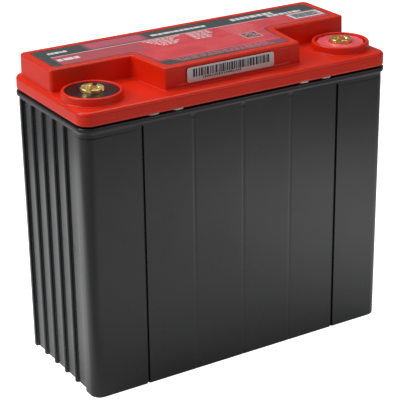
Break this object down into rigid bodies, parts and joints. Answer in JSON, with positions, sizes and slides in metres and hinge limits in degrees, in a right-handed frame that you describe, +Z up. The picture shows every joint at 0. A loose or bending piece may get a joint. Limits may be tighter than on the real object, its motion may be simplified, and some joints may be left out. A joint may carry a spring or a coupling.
{
  "type": "motorcycle battery",
  "caption": "Sealed lead-acid battery in a ribbed black jar with a red lid, whose stepped top leaves a recess at each front corner for a threaded brass terminal.",
  "frame": {"origin": "middle of the underside", "axes": "+X along the long side towards the positive terminal, +Y towards the face away from the terminals, +Z up"},
  "size_m": [0.1846, 0.079, 0.168],
  "materials": {
    "black_plastic": "satin moulded plastic with fine grain",
    "red_plastic": "semi-gloss moulded plastic",
    "label_print": "printed film",
    "white_print": "printed paper film",
    "sealant": "set sealing compound",
    "brass": "machined",
    "black_resin": "cast resin",
    "pink_resin": "cast resin",
    "rubber": "matt",
    "lead": "cast lead, dull",
    "positive_paste": "lead dioxide paste on a lead grid",
    "negative_paste": "spongy lead paste on a lead grid",
    "glass_mat": "absorbent glass mat"
  },
  "bodies": {
    "root": {"case": "black_plastic", "lid": "red_plastic", "vent_cover": "red_plastic", "seam_seal": "sealant", "top_label": "label_print", "barcode_label": "white_print", "negative_group_1": "negative_paste", "positive_group_1": "positive_paste", "separator_1": "glass_mat", "negative_group_2": "negative_paste", "positive_group_2": "positive_paste", "separator_2": "glass_mat", "negative_group_3": "negative_paste", "positive_group_3": "positive_paste", "separator_3": "glass_mat", "negative_group_4": "negative_paste", "positive_group_4": "positive_paste", "separator_4": "glass_mat", "negative_group_5": "negative_paste", "positive_group_5": "positive_paste", "separator_5": "glass_mat", "negative_group_6": "negative_paste", "positive_group_6": "positive_paste", "separator_6": "glass_mat", "intercell_weld_1": "lead", "intercell_weld_2": "lead", "intercell_weld_3": "lead", "intercell_weld_4": "lead", "intercell_weld_5": "lead", "negative_insert": "brass", "negative_resin_disc": "black_resin", "negative_lead_post": "lead", "negative_post_ring": "rubber", "positive_insert": "brass", "positive_resin_disc": "pink_resin", "positive_lead_post": "lead", "positive_post_ring": "rubber"},
    "valve_cap_1": {"valve_cap_1": "rubber"},
    "valve_cap_2": {"valve_cap_2": "rubber"},
    "valve_cap_3": {"valve_cap_3": "rubber"},
    "valve_cap_4": {"valve_cap_4": "rubber"},
    "valve_cap_5": {"valve_cap_5": "rubber"},
    "valve_cap_6": {"valve_cap_6": "rubber"}
  },
  "joints": [
    {"name": "valve_cap_1_lift", "type": "slide", "parent": "root", "child": "valve_cap_1", "axis": [0, 0, 1], "range_m": [0, 0.0008], "stiffness_N_per_m": 60, "springref_m": -0.002},
    {"name": "valve_cap_2_lift", "type": "slide", "parent": "root", "child": "valve_cap_2", "axis": [0, 0, 1], "range_m": [0, 0.0008], "stiffness_N_per_m": 60, "springref_m": -0.002},
    {"name": "valve_cap_3_lift", "type": "slide", "parent": "root", "child": "valve_cap_3", "axis": [0, 0, 1], "range_m": [0, 0.0008], "stiffness_N_per_m": 60, "springref_m": -0.002},
    {"name": "valve_cap_4_lift", "type": "slide", "parent": "root", "child": "valve_cap_4", "axis": [0, 0, 1], "range_m": [0, 0.0008], "stiffness_N_per_m": 60, "springref_m": -0.002},
    {"name": "valve_cap_5_lift", "type": "slide", "parent": "root", "child": "valve_cap_5", "axis": [0, 0, 1], "range_m": [0, 0.0008], "stiffness_N_per_m": 60, "springref_m": -0.002},
    {"name": "valve_cap_6_lift", "type": "slide", "parent": "root", "child": "valve_cap_6", "axis": [0, 0, 1], "range_m": [0, 0.0008], "stiffness_N_per_m": 60, "springref_m": -0.002}
  ]
}
